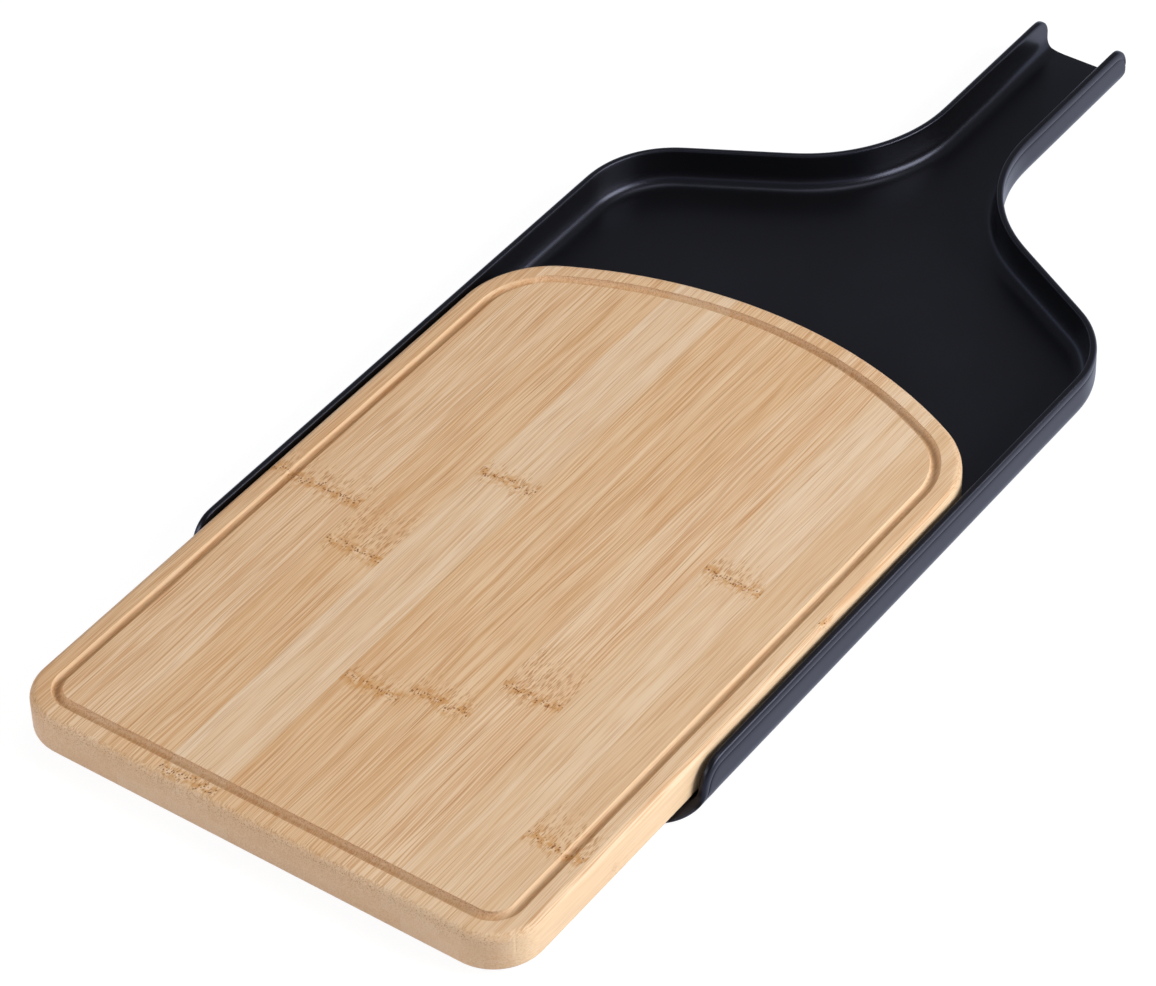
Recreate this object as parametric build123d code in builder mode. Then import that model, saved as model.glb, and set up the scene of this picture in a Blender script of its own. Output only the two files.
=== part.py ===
from build123d import *
import math
import os

# A cutting board that slides like a drawer in a shallow paddle-shaped tray.
# Millimetres, +Z up, handle towards +Y, open front towards -Y.
# The origin is on the tray's flat underside, halfway along the tray.

# ---- driving dimensions -------------------------------------------------

# tray: one moulding, seen from above
tray_length = 460.0
pan_width = 226.0
pan_straight = 269.0        # straight side, from the open front to the shoulder
shoulder_radius = 41.3      # convex corner where the pan starts to narrow
shoulder_slope = 61.1       # degrees that the side turns inwards at the shoulder
neck_radius = 65.5          # hollow curve into the handle
handle_width = 40.0
front_corner = 19.0

# tray: section through the wall
rim_height = 18.0
wall = 3.0
floor_thickness = 2.5
bottom_radius = 5.0         # outside, along the foot of the wall
rim_flat = 0.2              # what stays level on top of the rounded rim
wall_end_setback = 20.5     # from the tray's front edge back to the wall's end
wall_end_foot = 4.5         # hollow curve where the wall's front end meets the floor

# board
side_gap = 2.0              # board to wall, each side
stop_gap = 2.0              # board to shoulder when it is pushed right in
cove_clearance = 0.3        # the board's rounded lower edge to the cove at the foot of the wall
board_thickness = 17.0
board_corner = 20.0         # front corners, in plan
arch_corner = 40.0          # corners of the arched back end, in plan
arch_extra_turn = 2.0       # degrees the arch corner turns past the shoulder's slope
edge_round = 3.0
pulled_out = 86.5           # how far the board's front stands out of the tray
pushed_in = 1.7             # how far it still stands out when it is pushed right in

# juice groove
groove_inset = 9.5          # board edge to the groove's centre line
groove_radius = 2.5
groove_depth = 2.4

# glued bamboo strips
lower_layer = 8.5
whole_strips = 8            # strips of full width in each layer
upper_first_strip = 16.7    # the outer strips of the top layer are planed narrower
upper_last_strip = 3.3

spare = 30.0                # how far a cutting solid runs past what it cuts

# ---- derived places -----------------------------------------------------

front_y = -tray_length / 2
back_y = tray_length / 2
pan_half = pan_width / 2
handle_half = handle_width / 2
shoulder_y = front_y + pan_straight
slope = math.radians(shoulder_slope)
turn_in = 1 - math.cos(slope)
shoulder_line = (pan_half - handle_half - (shoulder_radius + neck_radius) * turn_in) / math.sin(slope)

rim_round = (wall - rim_flat) / 2
cove_radius = side_gap + edge_round - cove_clearance    # inside, where the wall meets the floor
wall_end_y = front_y + wall_end_setback
wall_end_radius = rim_height - floor_thickness - wall_end_foot
wall_end_z = rim_height - wall_end_radius

board_half = pan_half - wall - side_gap
arch_slope = math.radians(shoulder_slope + arch_extra_turn)
arch_radius = arch_corner + (board_half - arch_corner) / math.cos(arch_slope)
# pushed right in, the arch corners stop short of the shoulders by stop_gap
nest_across = math.cos(slope) * ((pan_half - shoulder_radius) - (board_half - arch_corner))
nest_along = (nest_across + shoulder_radius - wall - arch_corner - stop_gap) / math.sin(slope)
arch_corner_y = pan_straight + nest_along + pushed_in     # from the board's front
arch_centre_y = arch_corner_y - (arch_radius - arch_corner) * math.sin(arch_slope)

board_front = front_y - pulled_out
board_bottom = floor_thickness
board_top = floor_thickness + board_thickness

upper_layer = board_thickness - lower_layer
lower_last_strip = upper_first_strip + upper_last_strip
strip_width = (2 * board_half - lower_last_strip) / whole_strips
whole_widths = [strip_width] * whole_strips
upper_widths = [upper_first_strip] + whole_widths + [upper_last_strip]
lower_widths = whole_widths + [lower_last_strip]


# ---- outlines, seen from above ------------------------------------------

def tray_outline(inset, start_y, end_y):
    """The paddle's outline, moved in by inset, from start_y to end_y."""
    across = Vector(math.cos(slope), math.sin(slope))
    along = Vector(-math.sin(slope), math.cos(slope))
    shoulder = Vector(pan_half - shoulder_radius, shoulder_y)
    neck = shoulder + across * (shoulder_radius + neck_radius) + along * shoulder_line
    side = Line((pan_half - inset, start_y), (pan_half - inset, shoulder_y))
    corner = CenterArc(shoulder, shoulder_radius - inset, 0, shoulder_slope)
    hollow = CenterArc(neck, neck_radius + inset, 180, shoulder_slope)
    Line(corner @ 1, hollow @ 1)
    grip = Line(hollow @ 0, (handle_half - inset, end_y))
    Line((0, start_y), side @ 0)
    Line(grip @ 1, (0, end_y))
    mirror(about=Plane.YZ)


def board_outline(inset):
    """The board's outline, moved in by inset."""
    half = board_half - inset
    corner_x = board_half - board_corner
    corner_y = board_front + board_corner
    arch_x = board_half - arch_corner
    arch_y = board_front + arch_corner_y
    turn = shoulder_slope + arch_extra_turn
    Line((0, board_front + inset), (corner_x, board_front + inset))
    CenterArc((corner_x, corner_y), board_corner - inset, -90, 90)
    Line((half, corner_y), (half, arch_y))
    CenterArc((arch_x, arch_y), arch_corner - inset, 0, turn)
    CenterArc((0, board_front + arch_centre_y), arch_radius - inset, turn, 90 - turn)
    mirror(about=Plane.YZ)


# ---- tray ---------------------------------------------------------------

# the space inside the tray, which runs out past the front and past the handle's end
with BuildPart() as tray_space:
    with BuildSketch(Plane.XY.offset(floor_thickness)):
        with BuildLine():
            tray_outline(wall, front_y - 2 * spare, back_y + 2 * spare)
        make_face()
    extrude(amount=rim_height)
    foot = edges().group_by(Axis.Z)[0]
    fillet(foot.filter_by_position(Axis.Y, front_y - spare, back_y + spare), radius=cove_radius)

# floor, walls and rounded rim, still too long at both ends
with BuildPart() as channel:
    with BuildSketch():
        with BuildLine():
            tray_outline(0, front_y - spare, back_y + spare)
        make_face()
    extrude(amount=rim_height)
    add(tray_space.part, mode=Mode.SUBTRACT)
    rim = edges().group_by(Axis.Z)[-1]
    fillet(rim.filter_by_position(Axis.Y, front_y - spare / 2, back_y + spare / 2), radius=rim_round)

# what is cut away over the ends of the walls, drawn from the side
with BuildPart() as end_space:
    with BuildSketch(Plane.YZ):
        with BuildLine():
            crest = RadiusArc((wall_end_y + wall_end_radius, rim_height),
                              (wall_end_y, wall_end_z), -wall_end_radius)
            hollow = RadiusArc(crest @ 1, (wall_end_y - wall_end_foot, floor_thickness), wall_end_foot)
            Polyline(hollow @ 1, (front_y - spare, floor_thickness),
                     (front_y - spare, rim_height + spare),
                     (wall_end_y + wall_end_radius, rim_height + spare), crest @ 0)
        make_face()
        with BuildLine():
            tip = RadiusArc((back_y - wall_end_radius, rim_height), (back_y, wall_end_z), wall_end_radius)
            Polyline(tip @ 1, (back_y + spare, wall_end_z), (back_y + spare, rim_height + spare),
                     (back_y - wall_end_radius, rim_height + spare), tip @ 0)
        make_face()
    extrude(amount=pan_width, both=True)

with BuildPart() as tray:
    with BuildSketch():
        with BuildLine():
            tray_outline(0, front_y, back_y)
        make_face()
        fillet(vertices().group_by(Axis.Y)[0], radius=front_corner)
    extrude(amount=rim_height)
    fillet(edges().group_by(Axis.Z)[0], radius=bottom_radius)
    add(channel.part, mode=Mode.INTERSECT)
    add(end_space.part, mode=Mode.SUBTRACT)

# ---- board --------------------------------------------------------------

with BuildPart() as board_blank:
    with BuildSketch(Plane.XY.offset(board_bottom)):
        with BuildLine():
            board_outline(0)
        make_face()
    extrude(amount=board_thickness)
    fillet(edges().group_by(Axis.Z)[0] + edges().group_by(Axis.Z)[-1], radius=edge_round)
    with BuildLine(Plane.XY.offset(board_top + groove_radius - groove_depth)) as groove_line:
        board_outline(groove_inset)
    groove_start = Plane(origin=groove_line.wire() @ 0, z_dir=groove_line.wire() % 0)
    with BuildSketch(groove_start):
        Circle(groove_radius)
    sweep(path=groove_line.wire(), mode=Mode.SUBTRACT)


def cut_strip(left, width, bottom, height):
    """One bamboo strip: the part of the board between two glue lines in a layer."""
    with BuildPart() as strip:
        add(board_blank.part)
        middle = (left + width / 2, board_front + arch_corner_y / 2, bottom + height / 2)
        with Locations(middle):
            Box(width, 2 * tray_length, height, mode=Mode.INTERSECT)
    return strip


layers = (("upper", upper_widths, board_bottom + lower_layer, upper_layer),
          ("lower", lower_widths, board_bottom, lower_layer))

# ---- files --------------------------------------------------------------

os.makedirs("parts", exist_ok=True)

tray.part.label = "tray"
export_step(tray.part, "parts/tray.step")

for layer, widths, bottom, height in layers:
    left = -board_half
    for number, width in enumerate(widths, start=1):
        strip = cut_strip(left, width, bottom, height)
        strip.part.label = f"{layer}_strip_{number:02d}"
        export_step(strip.part, f"parts/{strip.part.label}.step")
        left += width
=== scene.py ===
import math

import bpy
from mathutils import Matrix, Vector


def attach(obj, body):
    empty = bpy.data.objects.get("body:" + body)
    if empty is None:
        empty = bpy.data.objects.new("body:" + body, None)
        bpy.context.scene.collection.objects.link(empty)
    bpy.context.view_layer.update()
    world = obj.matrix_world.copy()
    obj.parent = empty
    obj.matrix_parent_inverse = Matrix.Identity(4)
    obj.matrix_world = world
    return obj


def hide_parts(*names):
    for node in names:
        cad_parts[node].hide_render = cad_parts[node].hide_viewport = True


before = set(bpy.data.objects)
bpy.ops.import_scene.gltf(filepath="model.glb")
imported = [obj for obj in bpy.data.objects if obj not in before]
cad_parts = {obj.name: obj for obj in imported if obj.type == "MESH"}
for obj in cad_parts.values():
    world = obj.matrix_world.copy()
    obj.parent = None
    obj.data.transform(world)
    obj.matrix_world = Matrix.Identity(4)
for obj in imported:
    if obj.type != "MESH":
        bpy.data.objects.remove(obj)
for name in ("Cube", "Light", "Camera"):
    if name in bpy.data.objects:
        bpy.data.objects.remove(bpy.data.objects[name])
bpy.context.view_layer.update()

# ==== camera ==============================================================
# A long lens looks down on the board's front corner from the right, turned a
# little clockwise.

bpy.ops.object.camera_add(location=(0.756093, -1.137052, 1.146110))
camera = bpy.context.object
camera.name = "camera"
camera.rotation_euler = [math.radians(a) for a in (48.449, 1.408, 35.512)]
camera.data.lens = 145.86
camera.data.sensor_width = 36.0
bpy.context.scene.camera = camera

# ==== studio ==============================================================
# A white sweep under the object and three large soft lamps round it.

scene = bpy.context.scene
scene.view_settings.view_transform = "Standard"


def linear(code):
    """An sRGB hex colour as the linear colour that a shader takes."""
    parts = [int(code[i:i + 2], 16) / 255 for i in (1, 3, 5)]
    return [p / 12.92 if p <= 0.04045 else ((p + 0.055) / 1.055) ** 2.4 for p in parts] + [1.0]


def add_node(tree, kind, settings=None, **inputs):
    """Adds a node with its settings. Its inputs, named or numbered as i0, take values or
    other nodes' outputs. Gives the node's outputs."""
    node = tree.nodes.new(kind)
    for name, value in (settings or {}).items():
        setattr(node, name, value)
    for name, value in inputs.items():
        numbered = name[0] == "i" and name[1:].isdigit()
        socket = node.inputs[int(name[1:]) if numbered else name.replace("_", " ")]
        if isinstance(value, bpy.types.NodeSocket):
            tree.links.new(value, socket)
        else:
            socket.default_value = value
    return node.outputs


def new_material(name):
    """An empty node material and its tree."""
    material = bpy.data.materials.new(name)
    material.use_nodes = True
    material.node_tree.nodes.clear()
    return material, material.node_tree


world = bpy.data.worlds.new("studio")
scene.world = world
world.use_nodes = True
tree = world.node_tree
tree.nodes.clear()
room = add_node(tree, "ShaderNodeBackground", Color=linear("#DCDEE6"), Strength=0.25)
rays = add_node(tree, "ShaderNodeLightPath")
# the paper is white to the eye and a little cool in the gloss, as the photograph's mirrored light is
cool_white = linear("#DCE4FD")
paper_white = add_node(tree, "ShaderNodeMix", {"data_type": "RGBA"}, i0=rays["Is Camera Ray"],
                       i6=cool_white, i7=(1, 1, 1, 1))
white = add_node(tree, "ShaderNodeBackground", Color=paper_white[2], Strength=1.0)
# the white backdrop stands behind the floor up to a low height, and gloss mirrors it there
sky = add_node(tree, "ShaderNodeTexCoord")
sky = add_node(tree, "ShaderNodeSeparateXYZ", i0=sky["Generated"])
backdrop = add_node(tree, "ShaderNodeMapRange", i0=sky["Z"], i1=0.42, i2=0.28)
mirrored = add_node(tree, "ShaderNodeMath", {"operation": "MAXIMUM"},
                    i0=rays["Is Glossy Ray"], i1=rays["Is Transmission Ray"])
mirrored = add_node(tree, "ShaderNodeMath", {"operation": "MULTIPLY"}, i0=mirrored[0], i1=backdrop[0])
direct = add_node(tree, "ShaderNodeMath", {"operation": "MAXIMUM"},
                  i0=rays["Is Camera Ray"], i1=mirrored[0])
seen = add_node(tree, "ShaderNodeMixShader", Fac=direct[0], i1=room[0], i2=white[0])
add_node(tree, "ShaderNodeOutputWorld", Surface=seen[0])


def soft_lamp(name, place, size, watts):
    """A large lamp at a place, turned towards the object."""
    bpy.ops.object.light_add(type="AREA", location=place)
    lamp = bpy.context.object
    lamp.name = name
    lamp.rotation_euler = (Vector((0, -0.05, 0)) - Vector(place)).to_track_quat("-Z", "Y").to_euler()
    lamp.data.shape = "RECTANGLE"
    lamp.data.size, lamp.data.size_y = size
    lamp.data.energy = watts


soft_lamp("lamp_window", (1.5, 0.45, 0.85), (1.2, 0.9), 35)
soft_lamp("lamp_front", (-0.9, -1.6, 1.0), (1.0, 0.9), 15)
soft_lamp("lamp_above", (0.1, 0.45, 2.0), (1.0, 1.0), 6.5)

bpy.ops.mesh.primitive_plane_add(size=8.0, location=(0, 0, -0.0002))
floor = bpy.context.object
floor.name = "floor"
material, tree = new_material("white_sweep")
paper = add_node(tree, "ShaderNodeBsdfDiffuse", Color=linear("#F2F2F3"))
shade = add_node(tree, "ShaderNodeBsdfDiffuse", Color=(0.16, 0.16, 0.16, 1))
rays = add_node(tree, "ShaderNodeLightPath")
paper_white = add_node(tree, "ShaderNodeMix", {"data_type": "RGBA"}, i0=rays["Is Camera Ray"],
                       i6=cool_white, i7=(1, 1, 1, 1))
glow = add_node(tree, "ShaderNodeEmission", Color=paper_white[2], Strength=0.91)
lit = add_node(tree, "ShaderNodeAddShader", i0=shade[0], i1=glow[0])
mirrored = add_node(tree, "ShaderNodeMath", {"operation": "MAXIMUM"},
                    i0=rays["Is Glossy Ray"], i1=rays["Is Transmission Ray"])
direct = add_node(tree, "ShaderNodeMath", {"operation": "MAXIMUM"},
                  i0=rays["Is Camera Ray"], i1=mirrored[0])
seen = add_node(tree, "ShaderNodeMixShader", Fac=direct[0], i1=paper[0], i2=lit[0])
add_node(tree, "ShaderNodeOutputMaterial", Surface=seen[0])
floor.data.materials.append(material)

# ==== tray ================================================================
# One thick moulding of black plastic: a floor with a wall round it, rounded
# on top, that sweeps down to a bare lip at the open front and runs on into
# the hollow handle. Its parting line runs round the outside below the rim.

mm = 0.001
rim_height, wall, floor_top = 18.0, 3.0, 2.5
front_y, back_y = -230.0, 230.0
pan_half, handle_half = 113.0, 20.0
front_corner = 19.0
shoulder_x, shoulder_y, shoulder_radius = 71.7, 39.0, 41.3
shoulder_turn = 61.1
shoulder_line = 43.194
neck_x, neck_y, neck_radius = 85.5, 153.374, 65.5
cove, foot = 4.3, 5.0           # subdividing opens the cove to the real one's 4.7
wall_end_y, wall_end_radius, wall_end_foot = -209.5, 11.0, 4.5
tip_radius = 7.5
parting_depth = 0.45


def inside_at(s):
    """Inset and height on the inner face, at a distance s up from the cove's foot."""
    if s < 0:
        return wall + cove - s, floor_top
    turn = min(s / cove, math.pi / 2)
    return wall + cove - cove * math.sin(turn), floor_top + cove - cove * math.cos(turn) + max(0, s - cove * math.pi / 2)


def outside_at(s):
    """Inset and height on the outer face, at a distance s up from the edge of the flat underside."""
    if s < 0:
        return foot - s, 0.0
    turn = min(s / foot, math.pi / 2)
    return foot - foot * math.sin(turn), foot - foot * math.cos(turn) + max(0, s - foot * math.pi / 2)


def climb(height, base, radius):
    """Distance up a rounded foot and a wall to a height."""
    rise = height - base
    if rise >= radius:
        return radius * math.pi / 2 + rise - radius
    return radius * math.acos(1 - max(rise, 0) / radius)


# distances below the rim, along the inner and the outer face, of the band's edge loops
inner_drops = [0.0, 2.2, 4.0, 6.0, 8.4, 10.8, 13.26, 15.72, 18.18, 20.5, 22.8]
outer_drops = [0.0, 3.48, 3.65, 3.82, 8.0, 10.6, 13.0, 15.62, 18.24, 20.85, 23.45]
columns = len(inner_drops) + 1 + len(outer_drops)
middle = len(inner_drops)
upright = middle + 6            # a loop on the outer wall, where the inset is nought


def band_points(rim, lean, toe):
    """The band's points as (along, inset, height): rim is (along, height) of the top
    edge, lean how far its loops start out along the wall, and toe the foot's along."""
    sides = []
    for drops, at, base, radius, support in ((inner_drops, inside_at, floor_top, cove, 2.2),
                                             (outer_drops, outside_at, 0.0, foot, 3.4)):
        full = drops[-1]
        top = climb(rim[1], base, radius)
        bottom = climb(rim_height, base, radius) - full
        reach = math.hypot(rim[0] - toe, top - bottom)
        raised = min(1.0, (rim[1] - floor_top) / 5.0)       # nought at the lip, one along the wall
        tight = 0.10 + 0.17 * raised
        power = math.log(min(support / reach, tight)) / math.log(support / full)
        bend = (rim[0] - lean[0] * reach / 2, top - lean[1] * reach / 2)
        side = []
        for drop in drops:
            t = (drop / full) ** power
            along = (1 - t) ** 2 * rim[0] + 2 * t * (1 - t) * bend[0] + t * t * toe
            s = (1 - t) ** 2 * top + 2 * t * (1 - t) * bend[1] + t * t * bottom
            side.append((along, *at(s)))
        sides.append(side)
    inner, outer = sides
    crown = (rim[0], 0.63 * inner[0][1] + 0.37 * outer[0][1], rim[1])
    outer[2] = (outer[2][0], outer[2][1] + parting_depth * raised, outer[2][2])
    return inner[::-1] + [crown] + outer


def start_chain(points):
    """A chain of edges through points, drawn out from one corner of a plane."""
    bpy.ops.object.select_all(action="DESELECT")
    bpy.ops.mesh.primitive_plane_add(size=mm)
    piece = bpy.context.object
    for corner in piece.data.vertices:
        corner.co = Vector(points[0]) * mm
    bpy.ops.object.mode_set(mode="EDIT")
    bpy.ops.mesh.select_mode(type="VERT")
    bpy.ops.mesh.select_all(action="SELECT")
    bpy.ops.mesh.merge(type="CENTER")
    # leaving edit mode here lets the new points be numbered in the order they are drawn out
    bpy.ops.object.mode_set(mode="OBJECT")
    bpy.ops.object.mode_set(mode="EDIT")
    bpy.ops.mesh.select_all(action="SELECT")
    for a, b in zip(points, points[1:]):
        push(Vector(b) - Vector(a))
    bpy.ops.mesh.select_all(action="SELECT")
    return piece


def push(step):
    """Extrudes what is selected by a step in millimetres."""
    bpy.ops.mesh.extrude_region_move(TRANSFORM_OT_translate={"value": Vector(step) * mm})


def turn(x, y, degrees, steps):
    """Spins what is selected about an upright axis, anticlockwise where degrees are above nought."""
    bpy.ops.mesh.spin(steps=steps, angle=-math.radians(degrees), center=(x * mm, y * mm, 0),
                      axis=(0, 0, 1), use_auto_merge=False)


def finish_mesh(piece):
    """Leaves edit mode with the normals outwards."""
    bpy.ops.object.mode_set(mode="EDIT")
    bpy.ops.mesh.select_all(action="SELECT")
    bpy.ops.mesh.normals_make_consistent(inside=False)
    bpy.ops.object.mode_set(mode="OBJECT")


def select_points(piece, chosen):
    """Selects vertices by index, and the edges between them."""
    bpy.ops.object.mode_set(mode="EDIT")
    bpy.ops.mesh.select_mode(type="VERT")
    bpy.ops.mesh.select_all(action="DESELECT")
    bpy.ops.object.mode_set(mode="OBJECT")
    for index in chosen:
        piece.data.vertices[index].select = True
    bpy.ops.object.mode_set(mode="EDIT")


# the section of the full wall, at the middle of the front, from the floor over the rim to the underside
section = [(0.0, front_y + inset, height) for _, inset, height in band_points((0, rim_height), (0, 1), 0)]
tray = start_chain(section)
rows = ["lip"]


def swept(kind, count=1):
    rows.extend([kind] * count)


for step in (40, 40, pan_half - front_corner - 80):
    push((step, 0, 0))
    swept("lip")
turn(pan_half - front_corner, front_y + front_corner, 90, 10)
swept("lip", 9)
swept("end")
for _ in range(8):
    push((0, 1.0, 0))
    swept("end")
here = front_y + front_corner + 8
for y in (-194, -186, -90, 10, 34, shoulder_y):
    push((0, y - here, 0))
    swept("wall")
    here = y
turn(shoulder_x, shoulder_y, shoulder_turn, 12)
swept("wall", 12)
slope = math.radians(shoulder_turn)
for share in (0.15, 0.35, 0.35, 0.15):
    push((-math.sin(slope) * shoulder_line * share, math.cos(slope) * shoulder_line * share, 0))
    swept("wall")
turn(neck_x, neck_y, -shoulder_turn, 12)
swept("wall", 12)
here = neck_y
for y in (158, 170, 190, 205, 215):
    push((0, y - here, 0))
    swept("wall")
    here = y
for y in (224, 225, 226, 227, 228, 229, back_y):
    push((0, y - here, 0))
    swept("tip")
    here = y
bpy.ops.object.mode_set(mode="OBJECT")
tray.name = "tray_moulding"

# the wall's ends: the loops are laid down to the lip, along the sweep at the front and round the tip at the back
front_sweep = [((wall_end_y - wall_end_foot * (1 - math.cos(a)), 7.0 - wall_end_foot * math.sin(a)),
                (-math.cos(a), math.sin(a)), -206.0 - 8.0 * a / (math.pi / 2))
               for a in (math.radians(60), math.radians(30), 0.0)]
front_sweep += [((wall_end_y + wall_end_radius * (1 - math.sin(a)), 7.0 + wall_end_radius * math.cos(a)),
                 (-math.sin(a), math.cos(a)), -198.5 - 7.5 * a / (math.pi / 2))
                for a in [math.radians(d) for d in (75, 60, 45, 30, 15, 0)]]
tip_sweep = [((back_y - tip_radius * (1 - math.sin(a)), rim_height - tip_radius * (1 - math.cos(a))), (0, 1),
              back_y - w) for a, w in zip([math.radians(d) for d in (0, 15, 30, 45, 60, 75, 90)],
                                          (7.5, 6.0, 4.6, 3.3, 2.1, 0.9, 0))]
points = tray.data.vertices
ends, tips = iter(front_sweep), iter(tip_sweep)
for row, kind in enumerate(rows):
    if kind == "wall":
        continue
    first = row * columns
    edge = points[first + upright].co / mm
    inward = points[first].co / mm - edge
    inward.z = 0
    inward.normalize()
    edge.z = 0
    ahead = Vector((0, 1, 0))
    if kind == "lip":
        laid = band_points((0, floor_top), (0, 1), 0)
    else:
        laid = band_points(*next(ends if kind == "end" else tips))
        edge.y = 0
    for column, (along, inset, height) in enumerate(laid):
        if kind == "tip" and column > middle:
            left = min(max(back_y - along, 0.0), foot)
            height = max(height, foot - math.sqrt(foot ** 2 - (foot - left) ** 2))
        points[first + column].co = (edge + ahead * along + inward * inset + Vector((0, 0, height))) * mm

# the handle's end: the floor there runs to the middle, and its edge is closed
last = (len(rows) - 1) * columns
for column in range(middle + 1):
    point = points[last + column]
    left = foot - math.sqrt(foot ** 2 - max(foot - point.co.z / mm, 0) ** 2)
    point.co.y = (back_y - left) * mm
for column, (inset, height) in zip(range(columns - 6, columns), ((0.0, 5.6), (0.5, 4.7), (2.0, 3.7), (4.8, 2.75), (7.7, 2.1), (10.1, 2.1))):
    left = foot - math.sqrt(foot ** 2 - max(foot - height, 0) ** 2)
    points[last + column].co = Vector((handle_half - inset, back_y - left, height)) * mm
handle_rows = range(len(rows) - 9, len(rows))
for column in (0, columns - 1):
    select_points(tray, [row * columns + column for row in handle_rows])
    bpy.ops.mesh.extrude_region_move()
    bpy.ops.transform.resize(value=(0, 1, 1), center_override=(0, 0, 0))
    bpy.ops.object.mode_set(mode="OBJECT")
middle_top = len(points) - 2 * len(handle_rows) + len(handle_rows) - 1
middle_under = len(points) - 1
select_points(tray, [middle_top] + list(range(last, last + middle)) + list(range(last + middle + 1, last + columns)) + [middle_under])
bpy.ops.mesh.bridge_edge_loops()
bpy.ops.object.mode_set(mode="OBJECT")
select_points(tray, [last + middle - 1, last + middle, last + middle + 1])
bpy.ops.mesh.edge_face_add()
finish_mesh(tray)


def apply_modifier(piece, kind, **settings):
    """Adds a modifier with its settings and applies it."""
    bpy.ops.object.select_all(action="DESELECT")
    piece.select_set(True)
    bpy.context.view_layer.objects.active = piece
    modifier = piece.modifiers.new(kind.lower(), kind)
    for name, value in settings.items():
        setattr(modifier, name, value)
    bpy.ops.object.modifier_apply(modifier=modifier.name)


def close_and_smooth(piece, degrees):
    """Closes the openings left in a mesh and smooths its shading."""
    bpy.ops.object.mode_set(mode="EDIT")
    bpy.ops.mesh.select_mode(type="EDGE")
    bpy.ops.mesh.select_all(action="DESELECT")
    bpy.ops.mesh.select_non_manifold(extend=False, use_wire=False, use_multi_face=False, use_non_contiguous=False)
    bpy.ops.mesh.fill_holes(sides=0)
    bpy.ops.object.mode_set(mode="OBJECT")
    finish_mesh(piece)
    bpy.ops.object.shade_smooth_by_angle(angle=math.radians(degrees))


apply_modifier(tray, "MIRROR", use_mirror_merge=True, merge_threshold=0.01 * mm)
apply_modifier(tray, "SUBSURF", levels=2, render_levels=2)
close_and_smooth(tray, 50)
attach(tray, "tray")
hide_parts("tray")
# moulded black plastic with a fine spark-eroded matt skin: nearly black, with soft bluish sheens
material, tree = new_material("moulded_black_plastic")
place = add_node(tree, "ShaderNodeTexCoord")
size = add_node(tree, "ShaderNodeMapping", i0=place["Object"], Scale=(1000, 1000, 1000))
grain = add_node(tree, "ShaderNodeTexNoise", i0=size[0], Scale=2.5, Detail=2.0)
cloud = add_node(tree, "ShaderNodeTexNoise", i0=size[0], Scale=0.02, Detail=3.0)
sheen = add_node(tree, "ShaderNodeMapRange", i0=cloud[0], i1=0.3, i2=0.7, i3=0.28, i4=0.34)
tint = add_node(tree, "ShaderNodeMix", {"data_type": "RGBA"}, i0=cloud[0],
                i6=linear("#0B0B0D"), i7=linear("#0F0F11"))
skin_bump = add_node(tree, "ShaderNodeBump", Strength=0.12, Distance=0.05 * mm, Height=grain[0])
skin = add_node(tree, "ShaderNodeBsdfPrincipled", Base_Color=tint[2], Roughness=sheen[0],
                IOR=1.48, Specular_Tint=linear("#CED2EE"), Normal=skin_bump[0])
add_node(tree, "ShaderNodeOutputMaterial", Surface=skin[0])
tray.data.materials.append(material)

# ==== board ===============================================================
# Two crossed-over layers of bamboo strips glued side by side, sawn and sanded
# to one shape with rounded edges, with a juice groove routed round the top.

board_half, board_front, board_bottom, board_top = 108.0, -316.5, 2.5, 19.5
board_corner, arch_corner, arch_turn = 20.0, 40.0, 63.1
arch_y = -47.984
edge_round = 3.0
groove_inset, groove_radius, groove_depth = 9.8, 2.15, 2.05
layer_height = 11.0
arch_radius = arch_corner + (board_half - arch_corner) / math.cos(math.radians(arch_turn))
arch_centre_y = arch_y - (arch_radius - arch_corner) * math.sin(math.radians(arch_turn))


def arc(inset, height, radius, start, end, steps):
    """Points of an arc in the section, from one angle to another."""
    angles = [math.radians(start + (end - start) * i / steps) for i in range(steps + 1)]
    return [(inset + radius * math.cos(a), height + radius * math.sin(a)) for a in angles]


groove_rise = math.degrees(math.asin((groove_radius - groove_depth) / groove_radius))
section = [(groove_inset + 5.0, board_top)]
section += arc(groove_inset, board_top + groove_radius - groove_depth, groove_radius,
               -groove_rise, -180 + groove_rise, 14)
section += arc(edge_round, board_top - edge_round, edge_round, 90, 180, 7)
section += [(0.0, layer_height)]
section += arc(edge_round, board_bottom + edge_round, edge_round, 180, 270, 7)
section += [(edge_round + 4.0, board_bottom)]
blank = start_chain([(0.0, board_front + inset, height) for inset, height in section])
push((board_half - board_corner, 0, 0))
turn(board_half - board_corner, board_front + board_corner, 90, 20)
push((0, arch_y - board_front - board_corner, 0))
turn(board_half - arch_corner, arch_y, arch_turn, 20)
turn(0, arch_centre_y, 90 - arch_turn, 16)
bpy.ops.object.mode_set(mode="OBJECT")
# how deep the router went, for the groove's darkening: painted shade towards its bottom, and partly the cut wood's own
# darker tone
routed = blank.data.attributes.new("routed", "FLOAT", "POINT")
for index, point in enumerate(blank.data.vertices):
    if 0 < index % len(section) < 16:
        routed.data[index].value = (board_top - point.co.z / mm) / groove_depth
apply_modifier(blank, "MIRROR", use_mirror_merge=True, merge_threshold=0.01 * mm)
close_and_smooth(blank, 35)


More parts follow.
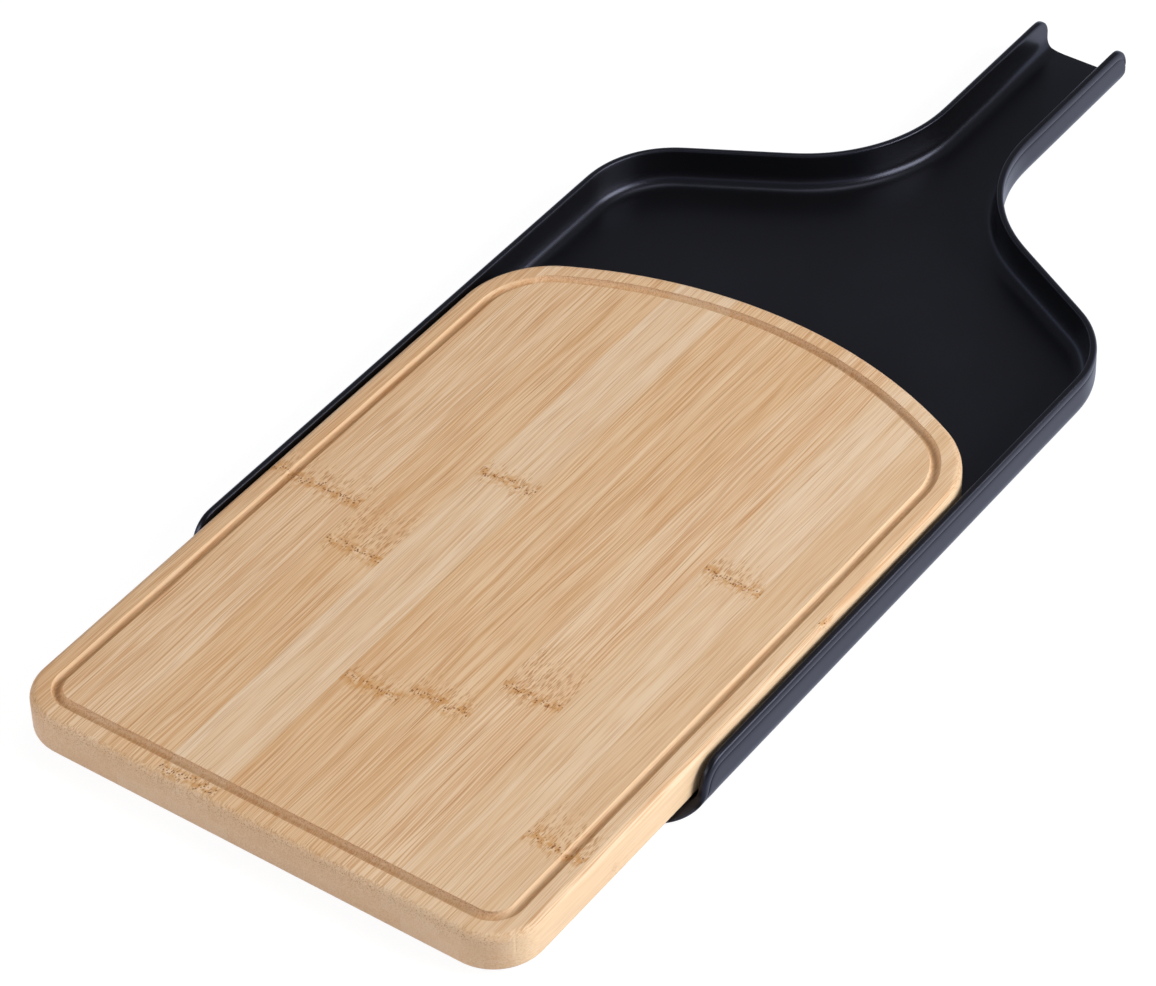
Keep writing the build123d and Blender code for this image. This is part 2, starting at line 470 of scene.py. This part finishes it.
def cut(piece, place, normal, keep_behind):
    """Cuts a closed piece at a plane and closes the cut."""
    bpy.ops.object.select_all(action="DESELECT")
    piece.select_set(True)
    bpy.context.view_layer.objects.active = piece
    bpy.ops.object.mode_set(mode="EDIT")
    bpy.ops.mesh.select_all(action="SELECT")
    bpy.ops.mesh.bisect(plane_co=Vector(place) * mm, plane_no=normal, use_fill=True,
                        clear_outer=keep_behind, clear_inner=not keep_behind, threshold=0.001 * mm)
    bpy.ops.object.mode_set(mode="OBJECT")


# Bamboo, planed, oiled and sanded satin: a cream ground with tan lines of fibre that run
# the length of the strip and show as dots where they are cut across, and knuckles where
# the fibres break up into short dashes behind a row of dark pits.
grounds = {"pale": ("#EDD5B6", "#E0BD93"), "mid": ("#EACDAA", "#DBB287"), "deep": ("#E7C7A1", "#D8AD7C")}


def bamboo(name, tone, browning, seed, knuckles, left, right):
    """The bamboo of one strip: its tone and how much browner it is, the shift of its pattern, its
    knuckles as (place along, how far their dashes reach back), and its two sides."""
    material, tree = new_material(name)

    def work(operation, a, b):
        """A sum on two values."""
        return add_node(tree, "ShaderNodeMath", {"operation": operation}, i0=a, i1=b)[0]

    def share(value, low, high, bottom=0.0, top=1.0):
        """Where a value stands between two levels."""
        return add_node(tree, "ShaderNodeMapRange", i0=value, i1=low, i2=high, i3=bottom, i4=top)[0]

    def stretched(vector, across, along):
        """Millimetres turned to pattern cells this wide and this long."""
        return add_node(tree, "ShaderNodeMapping", i0=vector, Scale=(1 / across, 1 / along, 1 / across))[0]

    def noise(vector, across, along, detail=1.0):
        return add_node(tree, "ShaderNodeTexNoise", i0=stretched(vector, across, along), Scale=1.0, Detail=detail)[0]

    def cells(vector, across, along):
        return add_node(tree, "ShaderNodeTexVoronoi", i0=stretched(vector, across, along), Scale=1.0)[0]

    def blend(amount, strength, under, over):
        """A colour laid over another."""
        return add_node(tree, "ShaderNodeMix", {"data_type": "RGBA"}, i0=work("MULTIPLY", amount, strength),
                        i6=under, i7=over)[2]

    place = add_node(tree, "ShaderNodeTexCoord")["Object"]
    place = add_node(tree, "ShaderNodeMapping", i0=place, Scale=(1000, 1000, 1000))[0]
    shifted = add_node(tree, "ShaderNodeMapping", i0=place, Location=(37.0 * seed, 211.0 * seed, 53.0 * seed))[0]
    x, y, z = add_node(tree, "ShaderNodeSeparateXYZ", i0=place)
    facing = add_node(tree, "ShaderNodeNewGeometry")["Normal"]
    facing_x, facing_y, facing_z = add_node(tree, "ShaderNodeSeparateXYZ", i0=facing)

    # a knuckle: a wavering line across the strip, and the zone of broken fibres behind it
    waver = add_node(tree, "ShaderNodeMapping", i0=shifted, Scale=(1 / 4.5, 0, 0))[0]
    waver = add_node(tree, "ShaderNodeTexNoise", i0=waver, Scale=1.0, Detail=2.0)[0]
    waver = share(waver, 0.25, 0.75, -2.8, 2.8)
    ragged = share(noise(shifted, 1.6, 9.0), 0.3, 0.7, -4.0, 4.0)
    pits, band, zone = 0.0, 0.0, 0.0
    for along, reach in knuckles:
        off = work("SUBTRACT", work("SUBTRACT", y, along + board_front), waver)
        far = work("ABSOLUTE", off, 0.0)
        pits = work("MAXIMUM", share(far, 2.0, 0.9), pits)
        band = work("MAXIMUM", share(far, 5.0, 1.5), band)
        behind = work("ADD", off, ragged)
        behind = work("MULTIPLY", share(behind, reach, 0.45 * reach), share(behind, -6.0, -1.5))
        zone = work("MAXIMUM", behind, zone)

    # the fibres waver slowly along the strip, and swerve at a knuckle
    slow = share(noise(shifted, 12.0, 80.0), 0.0, 1.0, -1.6, 1.6)
    swerve = work("MULTIPLY", share(noise(shifted, 2.5, 6.0), 0.0, 1.0, -0.7, 0.7), band)
    swing = add_node(tree, "ShaderNodeCombineXYZ", i0=work("ADD", slow, swerve))[0]
    swung = add_node(tree, "ShaderNodeVectorMath", {"operation": "ADD"}, i0=shifted, i1=swing)[0]

    # the lines of fibre: real ones are 0.2 to 0.4 mm wide, and these are drawn up to twice that to show
    ground, tan = (linear(code) for code in grounds[tone])
    streak = share(noise(swung, 0.58, 60.0), 0.47, 0.60)
    contrast = 0.76 if tone == "pale" else 1.0
    colour = blend(share(noise(swung, 5.0, 170.0, 2.0), 0.34, 0.66), 0.50, ground, tan)
    colour = blend(browning, 1.0, colour, linear("#C8955C"))
    colour = blend(streak, (0.36 if tone == "pale" else 0.48) * contrast, colour, linear("#C78E58"))
    colour = blend(share(noise(swung, 0.36, 24.0), 0.50, 0.66), 0.42 * contrast, colour, linear("#BC7E45"))
    bundle = share(cells(swung, 0.66, 55.0), 0.32, 0.15)
    colour = blend(bundle, 0.50 * contrast, colour, linear("#A56B34"))

    # knuckles
    dash = work("MULTIPLY", share(cells(swung, 0.56, 4.4), 0.44, 0.28), zone)
    colour = blend(zone, 0.30, colour, linear("#E3BF95"))
    colour = blend(dash, 0.62, colour, linear("#A86A30"))
    blotch = work("MULTIPLY", share(noise(swung, 2.6, 2.6), 0.44, 0.60), band)
    colour = blend(blotch, 0.65, colour, linear("#C68C48"))
    speck = work("MULTIPLY", share(cells(swung, 1.0, 1.4), 0.40, 0.26), pits)
    colour = blend(speck, 0.85, colour, linear("#7A4312"))

    # a hair's breadth of glue shows along the joints
    side = work("ABSOLUTE", work("SUBTRACT", x, (left + right) / 2), 0.0)
    half = (right - left) / 2
    colour = blend(share(side, half - 0.25, half - 0.05), 0.25, colour, linear("#A67C4E"))

    # cut ends are pinker, with the bundles as dots that crowd towards the top
    end = share(work("ABSOLUTE", facing_y, 0.0), 0.35, 0.90)
    colour = blend(end, 0.55, colour, linear("#DDB995"))
    dots = work("MULTIPLY", share(cells(swung, 0.70, 50.0), 0.36, 0.22), work("MULTIPLY", end, share(z, 11.0, 18.0)))
    colour = blend(dots, 0.55, colour, linear("#8A5E36"))
    # the long sides are paler: a painted sheen on the faces that point across the board
    long_side_sheen = share(work("ABSOLUTE", facing_x, 0.0), 0.6, 0.95)
    colour = blend(long_side_sheen, 0.60, colour, linear("#EBD0AC"))
    # the groove is darker with depth: painted shade in the hollow, and partly the cut wood's own darker tone
    routed = add_node(tree, "ShaderNodeAttribute", {"attribute_name": "routed"})["Fac"]
    colour = blend(share(routed, 0.3, 1.0), 0.42, colour, linear("#A67235"))

    depth = work("ADD", work("MULTIPLY", speck, -0.5), work("MULTIPLY", bundle, -0.3))
    relief = add_node(tree, "ShaderNodeBump", Strength=0.35, Distance=0.06 * mm, Height=depth)[0]
    skin = add_node(tree, "ShaderNodeBsdfPrincipled", Base_Color=colour, Roughness=share(streak, 0.0, 1.0, 0.48, 0.60),
                    IOR=1.45, Specular_IOR_Level=0.35, Normal=relief)
    add_node(tree, "ShaderNodeOutputMaterial", Surface=skin[0])
    return material


strip_width = 24.5
upper_joints = [-board_half] + [-board_half + 16.7 + strip_width * i for i in range(9)] + [board_half]
lower_joints = [-board_half + strip_width * i for i in range(9)] + [board_half]
# each strip's tone, how much browner it is, and its knuckles: (place from the board's front,
# reach of the broken fibres)
upper_strips = [("mid", 0.28, [(149, 16)]), ("mid", 0, [(149, 16)]), ("deep", 0, [(129, 32)]),
                ("pale", 0.10, [(4.5, 6), (189, 9)]), ("deep", 0, [(76, 9)]), ("deep", 0, [(83, 12)]),
                ("mid", 0, [(103, 28)]), ("pale", 0.12, [(190, 12)]), ("pale", 0.25, [(49, 20)]),
                ("mid", 0, [(191, 8)])]
lower_strips = [("mid", 0, [(232, 12)]), ("deep", 0, [(41, 15)]), ("pale", 0.1, [(168, 22)]),
                ("pale", 0.1, [(292, 10)]), ("mid", 0, [(88, 14)]), ("mid", 0, [(205, 9)]),
                ("deep", 0, [(17, 12), (262, 18)]), ("pale", 0.1, [(134, 10)]), ("mid", 0, [(60, 16)])]
seed = 0
for layer, joints, kinds in (("upper", upper_joints, upper_strips), ("lower", lower_joints, lower_strips)):
    for number, (left, right, (tone, browning, knuckles)) in enumerate(zip(joints, joints[1:], kinds), start=1):
        seed += 1
        name = f"{layer}_strip_{number:02d}"
        strip = blank.copy()
        strip.data = blank.data.copy()
        strip.name = f"bamboo_{name}"
        bpy.context.collection.objects.link(strip)
        cut(strip, (0, 0, layer_height), (0, 0, 1), layer == "lower")
        if left > -board_half:
            cut(strip, (left, 0, 0), (1, 0, 0), False)
        if right < board_half:
            cut(strip, (right, 0, 0), (1, 0, 0), True)
        finish_mesh(strip)
        bpy.ops.object.shade_smooth_by_angle(angle=math.radians(35))
        strip.data.materials.append(bamboo(f"bamboo_{name}", tone, browning, seed, knuckles, left, right))
        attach(strip, "board")
        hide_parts(name)
bpy.data.objects.remove(blank)
